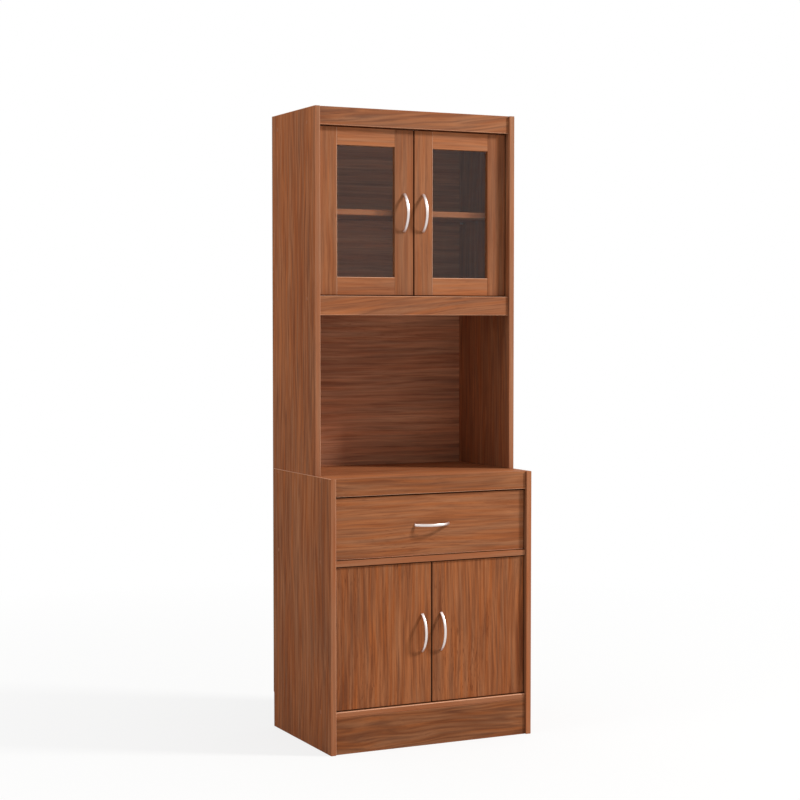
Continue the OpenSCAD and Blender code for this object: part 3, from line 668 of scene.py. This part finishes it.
class CABINET_OT_side_panels(bpy.types.Operator):
    """Side panels of both units, with recesses for their screw caps"""

    bl_idname = "cabinet.side_panels"
    bl_label = "Side Panels"

    def execute(self, context):
        sizes = context.scene.cabinet_sizes
        caps = solids("screw_caps")
        for number, node in enumerate(("upper_side_left", "upper_side_right",
                                       "lower_side_left", "lower_side_right")):
            low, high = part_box(node)
            piece = block(node + "_panel", low, high)
            bevel(piece, lambda e: True, sizes.board_edge)
            mine = [(a, b) for a, b in caps if low.z < a.z < high.z and a.x * low.x > 0]
            cutters = [rod("recess", (a + b) / 2, "X", (b.y - a.y) / 2 + sizes.cap_gap,
                           RECESS_DEPTH * (b.x - a.x)) for a, b in mine]
            cut(piece, join("recesses", cutters))
            left, upper = "left" in node, "upper" in node
            # The right panels' cooler colour is painted reflection, the grey veil that things near
            # the niche lay on its side; the upper panels' cooler edge tape is painted sheen.
            finishes = laminate(
                piece.name, UPRIGHT_SIDE, PRINT["sides"] + number, edge_tone=1.0,
                edge_cool=0.25 if upper else 0.0, tone=0.93 if upper else 0.88, figure=0.3,
                streaks=0.6, flecks=0.3, sheen=0.025 if left else 0.2, size=1.2,
                cool=-0.04 if left else 0.15)
            # The left panels' front and top outer corners take a painted highlight
            dress(piece, finishes, narrow_faces(0), [(1, -1, 0), (-1, 0, 1)] if left else [])
            stand_for(smooth(piece), node)
        return {"FINISHED"}


class CABINET_OT_flat_boards(bpy.types.Operator):
    """Boards that lie between the side panels, and the shelf"""

    bl_idname = "cabinet.flat_boards"
    bl_label = "Flat Boards"

    def execute(self, context):
        edge = context.scene.cabinet_sizes.board_edge
        for number, node in enumerate(("counter_board", "mid_board", "bottom_board",
                                       "top_board", "niche_board", "upper_shelf")):
            # The bottom board's wider rounded front corner takes a painted highlight, where light
            # falls on the ledge below the doors
            ledge_highlight = node == "bottom_board"
            board(node, node + "_laminated", LEVEL_FLAT, PRINT["flat_boards"] + number, 2,
                  2 * edge if ledge_highlight else edge, [UP_HIGHLIGHT] if ledge_highlight else [])
        return {"FINISHED"}


class CABINET_OT_front_strips(bpy.types.Operator):
    """Crown, rail under the glazed doors, apron and plinth"""

    bl_idname = "cabinet.front_strips"
    bl_label = "Front Strips"

    def execute(self, context):
        for number, (node, tone, figure, lines) in enumerate((
                ("crown_rail", 0.84, 0.3, [DOWN_HIGHLIGHT]),
                ("niche_rail", 0.90, 0.25, [UP_HIGHLIGHT, DOWN_HIGHLIGHT]),
                ("counter_apron", 0.82, 0.2, [DOWN_HIGHLIGHT]),
                # The plinth's low tone is partly painted shade, from the dimmer light near the
                # floor
                ("plinth_board", 0.64, 0.4, []))):
            upper = number < 2
            board(node, node + "_strip", LEVEL_FRONT, PRINT["strips"] + number, 1, lines=lines,
                  tone=tone, figure=figure, sheen=0.12 if upper else 0.05,
                  lean=0.1 if upper else 0, cool=0.12 if node == "crown_rail" else 0.06)
        return {"FINISHED"}


class CABINET_OT_back_panels(bpy.types.Operator):
    """Hardboard back panels with a printed face to the front, and their nails"""

    bl_idname = "cabinet.back_panels"
    bl_label = "Back Panels"

    def execute(self, context):
        sizes = context.scene.cabinet_sizes
        nails = solids("back_panel_nails")
        for node in ("upper_back_panel", "lower_back_panel"):
            low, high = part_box(node)
            piece = block(node + "_sheet", low, high)
            heads = [rod("head", front_middle(a, b, high.y), "Y",
                         (b.x - a.x) / 2 + sizes.nail_gap, 2 * sizes.nail_recess, sides=16)
                     for a, b in nails if low.z < a.z < high.z]
            cut(piece, join("heads", heads))
            bevel(piece, lambda e: e.calc_length() > SHEET_EDGE, sizes.sheet_edge, segments=1)
            dress(piece, [finish_named("raw_hardboard"), finish_named("back_print")],
                  lambda face: face.normal.y < -FLAT and face.area > PRINTED_FACE)
            stand_for(piece, node)
        coat("back_panel_nails", "plated_steel")
        return {"FINISHED"}


class CABINET_OT_screw_caps(bpy.types.Operator):
    """Caps over the carcass screws"""

    bl_idname = "cabinet.screw_caps"
    bl_label = "Screw Caps"

    def execute(self, context):
        sizes = context.scene.cabinet_sizes
        places = solids("screw_caps")
        low, high = places[0]
        first = rod("cap", (low + high) / 2, "X", (high.y - low.y) / 2, high.x - low.x)
        outer = max(abs(low.x), abs(high.x))
        bevel(first, lambda e: all(near(abs(v.co.x), outer) for v in e.verts),
              sizes.cap_round, segments=3)
        caps = []
        for a, b in places:
            turn = Matrix.Rotation(math.pi if a.x * low.x < 0 else 0, 4, "Z")
            shift = (a + b) / 2 - turn @ ((low + high) / 2)
            caps.append(copied(first, "cap", Matrix.Translation(shift) @ turn))
        bpy.data.objects.remove(first)
        piece = dress(smooth(join("screw_cap_set", caps)), [finish_named("screw_cap_plastic")])
        stand_for(piece, "screw_caps")
        return {"FINISHED"}


class CABINET_OT_glazed_doors(bpy.types.Operator):
    """Frames, glass and beads of the upper doors"""

    bl_idname = "cabinet.glazed_doors"
    bl_label = "Glazed Doors"

    def execute(self, context):
        sizes = context.scene.cabinet_sizes
        for number, side in enumerate(SIDES):
            self.frame(sizes, side, number)
            self.glass(sizes, side)
            self.beads(sizes, side, number)
        return {"FINISHED"}

    def frame(self, sizes, side, number):
        """Stiles and rails, with a chamfer round the glass and a rebate behind it."""
        glass_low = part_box(f"upper_{side}_glass")[0]
        bead_low, bead_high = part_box(f"upper_{side}_beads")
        centre = (bead_low + bead_high) / 2

        def round_glass(face):
            """Whether a face is round the glass, not on the outside of the door."""
            return all(bead_low[i] - MARGIN < face.center[i] < bead_high[i] + MARGIN
                       for i in (0, 2))

        for kind, grain, thin in (("stiles", UPRIGHT_FRONT, 0), ("rails", LEVEL_FRONT, 2)):
            node, stile = f"upper_{side}_{kind}", kind == "stiles"
            members = []
            for low, high in solids(node):
                member = block("member", low, high)
                inner = (high if (low[thin] + high[thin]) / 2 < centre[thin] else low)[thin]

                def beside_glass(e, far=TOUCH):
                    """Whether an edge is the front one beside the glass."""
                    return (abs(middle(e)[thin] - inner) < far
                            and abs(middle(e).y - low.y) < far)

                def at_joint(e):
                    """Whether an edge is at a rail's end, where it meets a stile."""
                    return not stile and near(e.verts[0].co.x, e.verts[1].co.x)

                bevel(member, lambda e: not beside_glass(e) and not at_joint(e),
                      sizes.door_edge)
                bevel(member, lambda e: beside_glass(e, 10 * TOUCH)
                      and e.calc_length() > FRAME_EDGE, sizes.frame_edge)
                members.append(member)
            piece = join(node + "_frame", members)
            rebate = block("rebate", (bead_low.x, glass_low.y, bead_low.z),
                           (bead_high.x, bead_high.y + MARGIN, bead_high.z))
            cut(piece, rebate)
            # The frames' dark edge tape is painted shade in the gaps round the doors; the chamfers
            # round the glass take a painted highlight.
            finishes = laminate(
                piece.name, grain, PRINT["frames"] + 2 * number + (not stile), edge_tone=0.4,
                tone=0.83 if stile else 1.02, figure=0.1 if stile else 0.16,
                streaks=0.55 if stile else 0.4, sheen=0.11, cool=0.1)
            dress(piece, finishes,
                  lambda face: abs(face.normal.y) < FLAT and not round_glass(face),
                  [(1, -1, 0)] if stile else [UP_HIGHLIGHT], round_glass)
            stand_for(smooth(piece), node)

    def glass(self, sizes, side):
        """A pane with a ground edge."""
        node = f"upper_{side}_glass"
        pane = block(node + "_pane", *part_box(node))
        bevel(pane, lambda e: True, sizes.glass_edge, segments=1)
        dress(pane, [finish_named("clear_glass")])
        stand_for(pane, node)

    def beads(self, sizes, side, number):
        """A mitred bead, drawn as a ring that is inset from a sheet and pulled to its depth."""
        node = f"upper_{side}_beads"
        low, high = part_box(node)
        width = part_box(f"upper_{side}_rails")[0].x - low.x
        clear_selection()
        bpy.ops.mesh.primitive_plane_add(size=1, rotation=ALONG["Y"],
                                         location=front_middle(low, high, low.y))
        piece = placed(node + "_ring", (high.x - low.x, high.z - low.z, 1))
        pick(piece, "faces", lambda f: True)
        bpy.ops.mesh.inset(thickness=width, depth=0)
        bpy.ops.mesh.delete(type="FACE")
        bpy.ops.mesh.select_all(action="SELECT")
        bpy.ops.mesh.extrude_region_move(
            TRANSFORM_OT_translate={"value": (0, high.y - low.y, 0)})
        bpy.ops.mesh.select_all(action="SELECT")
        bpy.ops.mesh.normals_make_consistent(inside=False)
        leave()

        def inner_back(e):
            """Whether an edge is the bead's inner one at the back."""
            at = middle(e)
            return (near(at.y, high.y) and near(e.verts[0].co.y, e.verts[1].co.y)
                    and low.x + width / 2 < at.x < high.x - width / 2
                    and low.z + width / 2 < at.z < high.z - width / 2)

        bevel(piece, inner_back, sizes.bead_round, segments=4)
        finishes = laminate(piece.name, UPRIGHT_FRONT, PRINT["beads"] + number, figure=0.1,
                            streaks=0.3)
        dress(piece, finishes)
        stand_for(smooth(piece), node)


class CABINET_OT_lower_doors(bpy.types.Operator):
    """Panels of the lower doors"""

    bl_idname = "cabinet.lower_doors"
    bl_label = "Lower Doors"

    def execute(self, context):
        edge = context.scene.cabinet_sizes.door_edge
        for number, side in enumerate(SIDES):
            node = f"lower_{side}_panel"
            # The doors' dark edge tape is painted shade in the gaps round them
            board(node, node + "_door", UPRIGHT_FRONT, PRINT["lower_doors"] + number, 1, edge,
                  tone=0.81, figure=0.16, streaks=0.95, flecks=1.0, size=0.95, cool=-0.06,
                  edge_tone=0.35)
        return {"FINISHED"}


class CABINET_OT_drawer(bpy.types.Operator):
    """Front and box of the drawer"""

    bl_idname = "cabinet.drawer"
    bl_label = "Drawer"

    def execute(self, context):
        sizes = context.scene.cabinet_sizes
        # The drawer front's dark edge tape is painted shade in the gap round it; its lower front
        # corner takes a painted highlight.
        board("drawer_front", "drawer_front_panel", LEVEL_FRONT, PRINT["drawer_front"], 1,
              sizes.door_edge, [DOWN_HIGHLIGHT], tone=0.88, cool=0.07, figure=0.2, flecks=0.5,
              sheen=0.06, edge_tone=0.5)
        for number, side in enumerate(SIDES):
            node = f"drawer_side_{side}"
            board(node, node + "_panel", LEVEL_END, PRINT["drawer_sides"] + number, 0)
        board("drawer_back", "drawer_back_panel", LEVEL_FRONT, PRINT["drawer_back"], 1)
        piece = block("drawer_bottom_sheet", *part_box("drawer_bottom"))
        bevel(piece, lambda e: True, sizes.sheet_edge, segments=1)
        dress(piece, [finish_named("raw_hardboard"), finish_named("back_print")],
              lambda face: face.normal.z > FLAT)
        stand_for(piece, "drawer_bottom")
        return {"FINISHED"}


class CABINET_OT_handles(bpy.types.Operator):
    """Bow handles of the four doors and the drawer"""

    bl_idname = "cabinet.handles"
    bl_label = "Handles"

    def execute(self, context):
        low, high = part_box("upper_left_handle")
        first = self.bow(context.scene.cabinet_sizes, high.y - low.y, high.z - low.z)
        for name in DOORS + ["drawer"]:
            node = name + "_handle"
            low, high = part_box(node)
            turn = Matrix.Rotation(math.pi / 2 if name == "drawer" else 0, 4, "Y")
            place = Matrix.Translation(front_middle(low, high, high.y))
            piece = copied(first, node + "_bow", place @ turn)
            stand_for(piece, node)
        bpy.data.objects.remove(first)
        return {"FINISHED"}

    def bow(self, sizes, rise, long):
        """An upright bow, its feet on y = 0: an oval that is spun along three arcs."""
        bend_z = long / 2 - sizes.bow_bend
        # Radius of the long arc that meets both bends and rises to the bow's height
        arc = ((bend_z ** 2 + rise ** 2 - sizes.bow_bend ** 2)
               / (2 * (rise - sizes.bow_bend)))
        half_turn = math.atan(bend_z / (arc - rise))
        end_turn = math.pi / 2 - half_turn
        arcs = [((0, 0, bend_z), end_turn, BEND_STEPS),
                ((0, arc - rise, 0), 2 * half_turn, ARC_STEPS),
                ((0, 0, -bend_z), end_turn, BEND_STEPS)]
        clear_selection()
        bpy.ops.mesh.primitive_circle_add(
            vertices=BOW_SIDES, radius=0.5, rotation=ALONG["Y"],
            location=(0, 0, bend_z + (sizes.bow_bend - sizes.bow_thickness / 2)))
        piece = placed("bow", (sizes.bow_end, sizes.bow_thickness, 1))
        pick(piece, "verts", lambda v: True)
        bpy.ops.mesh.edge_face_add()
        leave()
        pick(piece, "verts", lambda v: True)
        turned, before = 0.0, sizes.bow_end
        for centre, angle, steps in arcs:
            for _ in range(steps):
                bpy.ops.mesh.spin(steps=1, angle=-angle / steps, center=centre, axis=(1, 0, 0))
                turned += angle / steps
                now = self.width_at(sizes, turned / math.pi)
                bpy.ops.transform.resize(value=(now / before, 1, 1), center_override=(0, 0, 0))
                before = now
        leave()
        pick(piece, "faces", lambda f: True)
        bpy.ops.mesh.remove_doubles(threshold=TOUCH)
        bpy.ops.mesh.normals_make_consistent(inside=False)
        leave()
        dress(piece, [finish_named("satin_nickel")])
        choose(piece)
        bpy.ops.object.shade_smooth_by_angle(angle=BOW_SHARP)
        return piece

    def width_at(self, sizes, share):
        """The bow narrows from its ends to its middle."""
        return sizes.bow_end + (sizes.bow_width - sizes.bow_end) * math.sin(math.pi * share)


class CABINET_OT_handle_screws(bpy.types.Operator):
    """Pan head screws with a cross recess, from inside the doors and the drawer"""

    bl_idname = "cabinet.handle_screws"
    bl_label = "Handle Screws"

    def execute(self, context):
        sizes = context.scene.cabinet_sizes
        low, high = solids("upper_left_screws")[0]
        first = self.screw(sizes, (high.x - low.x) / 2, high.y - low.y - sizes.shank_cut,
                           high.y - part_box("upper_left_stiles")[1].y)
        for name in DOORS + ["drawer"]:
            node = name + "_screws"
            pair = [copied(first, "screw", Matrix.Translation(front_middle(a, b, b.y)))
                    for a, b in solids(node)]
            piece = dress(join(node + "_pan_heads", pair), [finish_named("plated_steel")])
            stand_for(smooth(piece), node)
        bpy.data.objects.remove(first)
        return {"FINISHED"}

    def screw(self, sizes, radius, long, head):
        """A screw along -Y, the top of its head on y = 0. Radius and head are its head's."""
        top = rod("screw", (0, -head / 2, 0), "Y", radius, head)
        bevel(top, lambda e: near(e.verts[0].co.y, 0) and near(e.verts[1].co.y, 0),
              head * HEAD_ROUND, segments=4)
        width, span, depth = sizes.cross_width / 2, sizes.cross_length / 2, sizes.cross_depth
        cut(top, block("slot", (-width, -depth, -span), (width, depth, span)),
            block("slot", (-span, -depth, -width), (span, depth, width)))
        shank = rod("shank", (0, -(head + long) / 2, 0), "Y", sizes.shank, long - head,
                    sides=24)
        return join("screw", [shank, top])


class CABINET_OT_fittings(bpy.types.Operator):
    """Finishes of the fittings that keep their CAD shapes"""

    bl_idname = "cabinet.fittings"
    bl_label = "Fittings"

    def execute(self, context):
        for finish, nodes in (
                ("plated_steel", ["carcass_screws", "shelf_pins"] + [
                    f"{door}_{part}" for door in DOORS for part in ("pivots", "strike")]),
                ("runner_coating", ["cabinet_runners", "drawer_runners"]),
                ("moulded_nylon", ["door_catches", "cabinet_rollers", "drawer_rollers"]),
                ("brown_nylon", ["pivot_bushes"]),
                ("beech_dowel", ["joining_dowels"])):
            for node in nodes:
                coat(node, finish)
        return {"FINISHED"}


class CABINET_OT_stage(bpy.types.Operator):
    """Camera, soft lights and a plain pale floor"""

    bl_idname = "cabinet.stage"
    bl_label = "Stage"

    def execute(self, context):
        settings = context.scene.cabinet_stage
        self.camera(context, settings)
        self.world(context, settings)
        self.lamps(context, settings)
        self.floor(context, settings)
        context.scene.view_settings.view_transform = "Standard"
        return {"FINISHED"}

    def camera(self, context, settings):
        """A camera at the photograph's viewing angle."""
        turn, tilt = settings.camera_turn, settings.camera_tilt
        ahead = Vector((math.sin(turn) * math.cos(tilt), math.cos(turn) * math.cos(tilt),
                        math.sin(tilt)))
        camera = bpy.data.objects.new("Camera", bpy.data.cameras.new("Camera"))
        context.scene.collection.objects.link(camera)
        camera.location = settings.camera_at
        camera.rotation_euler = ahead.to_track_quat("-Z", "Y").to_euler()
        camera.data.sensor_width, camera.data.lens = SENSOR_MM, settings.lens
        context.scene.camera = camera

    def seen(self, tree):
        """1 for rays that show the background: from the camera, a reflection or the glass."""
        path = add(tree, "ShaderNodeLightPath").outputs
        shown = maths(tree, "MAXIMUM", path["Is Camera Ray"], path["Is Glossy Ray"])
        return maths(tree, "MAXIMUM", shown, path["Is Transmission Ray"])

    def world(self, context, settings):
        """Even light from all round, before a background that shows as plain white."""
        world = bpy.data.worlds.new("Studio")
        world.use_nodes = True
        context.scene.world = world
        tree = world.node_tree
        tree.nodes.clear()
        white = (1, 1, 1, 1)
        even = add(tree, "ShaderNodeBackground", {"Color": white,
                                                  "Strength": settings.even_light})
        wall = add(tree, "ShaderNodeBackground", {"Color": white, "Strength": 1.0})
        both = add(tree, "ShaderNodeMixShader", {
            0: self.seen(tree), 1: even.outputs[0], 2: wall.outputs[0]})
        add(tree, "ShaderNodeOutputWorld", {"Surface": both.outputs[0]})

    def lamps(self, context, settings):
        """The main lamp from the front right and above, and a weak one from the left."""
        towards = Vector((math.sin(KEY_RIGHT) * math.cos(KEY_UP),
                          -math.cos(KEY_RIGHT) * math.cos(KEY_UP), math.sin(KEY_UP)))
        self.lamp(context, "Key", KEY_CORNER + KEY_AWAY * towards, KEY_AIM,
                  settings.key_power, settings.key_size)
        self.lamp(context, "Fill", FILL_AT, FILL_AIM, settings.fill_power, settings.fill_size)

    def lamp(self, context, name, at, aim, power, size):
        """A square lamp at a place, turned towards what it is aimed at."""
        light = bpy.data.lights.new(name, "AREA")
        light.energy, light.size = power, size
        lamp = bpy.data.objects.new(name, light)
        lamp.location = at
        lamp.rotation_euler = (aim - at).to_track_quat("-Z", "Y").to_euler()
        context.scene.collection.objects.link(lamp)

    def floor(self, context, settings):
        """A pale floor that shows as white but for the shadow round the cabinet."""
        clear_selection()
        bpy.ops.mesh.primitive_plane_add(size=settings.floor_size)
        floor = placed("Floor")
        material = bpy.data.materials.new("pale_floor")
        material.use_nodes = True
        tree = material.node_tree
        bsdf = tree.nodes["Principled BSDF"]
        place = add(tree, "ShaderNodeTexCoord").outputs["Object"]
        base = tuple(context.scene.cabinet_colours.floor)
        grain = ranged(tree, noise(tree, place, scale=3.0), 0, 1, to_low=0.97, to_high=1.0)
        tree.links.new(mixed(tree, grain, toned(base, 0.9), base), bsdf.inputs["Base Color"])
        bsdf.inputs["Roughness"].default_value = 0.9
        white = add(tree, "ShaderNodeEmission")
        far = add(tree, "ShaderNodeVectorMath", {0: place}, operation="LENGTH").outputs["Value"]
        share = times(tree, self.seen(tree), ranged(tree, far, **FLOOR_WHITE))
        both = add(tree, "ShaderNodeMixShader", {
            0: share, 1: bsdf.outputs[0], 2: white.outputs[0]})
        tree.links.new(both.outputs[0], tree.nodes["Material Output"].inputs["Surface"])
        floor.data.materials.append(material)


OPERATORS = (
    CABINET_OT_side_panels, CABINET_OT_flat_boards, CABINET_OT_front_strips,
    CABINET_OT_back_panels, CABINET_OT_screw_caps, CABINET_OT_glazed_doors,
    CABINET_OT_lower_doors, CABINET_OT_drawer, CABINET_OT_handles,
    CABINET_OT_handle_screws, CABINET_OT_fittings, CABINET_OT_stage,
)


class CABINET_PT_build(bpy.types.Panel):
    """Buttons for each piece, and its sizes and colours"""

    bl_label = "Kitchen Cabinet"
    bl_idname = "CABINET_PT_build"
    bl_space_type = "VIEW_3D"
    bl_region_type = "UI"
    bl_category = "Cabinet"

    def draw(self, context):
        for operator in OPERATORS:
            self.layout.operator(operator.bl_idname)
        for group in (context.scene.cabinet_sizes, context.scene.cabinet_colours,
                      context.scene.cabinet_stage):
            column = self.layout.column()
            for name in group.__annotations__:
                column.prop(group, name)


CLASSES = (CabinetSizes, CabinetColours, CabinetStage, *OPERATORS, CABINET_PT_build)


def register():
    for item in CLASSES:
        bpy.utils.register_class(item)
    bpy.types.Scene.cabinet_sizes = PointerProperty(type=CabinetSizes)
    bpy.types.Scene.cabinet_colours = PointerProperty(type=CabinetColours)
    bpy.types.Scene.cabinet_stage = PointerProperty(type=CabinetStage)


def unregister():
    del bpy.types.Scene.cabinet_sizes, bpy.types.Scene.cabinet_colours
    del bpy.types.Scene.cabinet_stage
    for item in reversed(CLASSES):
        bpy.utils.unregister_class(item)


def main():
    register()
    for operator in OPERATORS:
        group, name = operator.bl_idname.split(".")
        getattr(getattr(bpy.ops, group), name)()


if __name__ == "__main__":
    main()
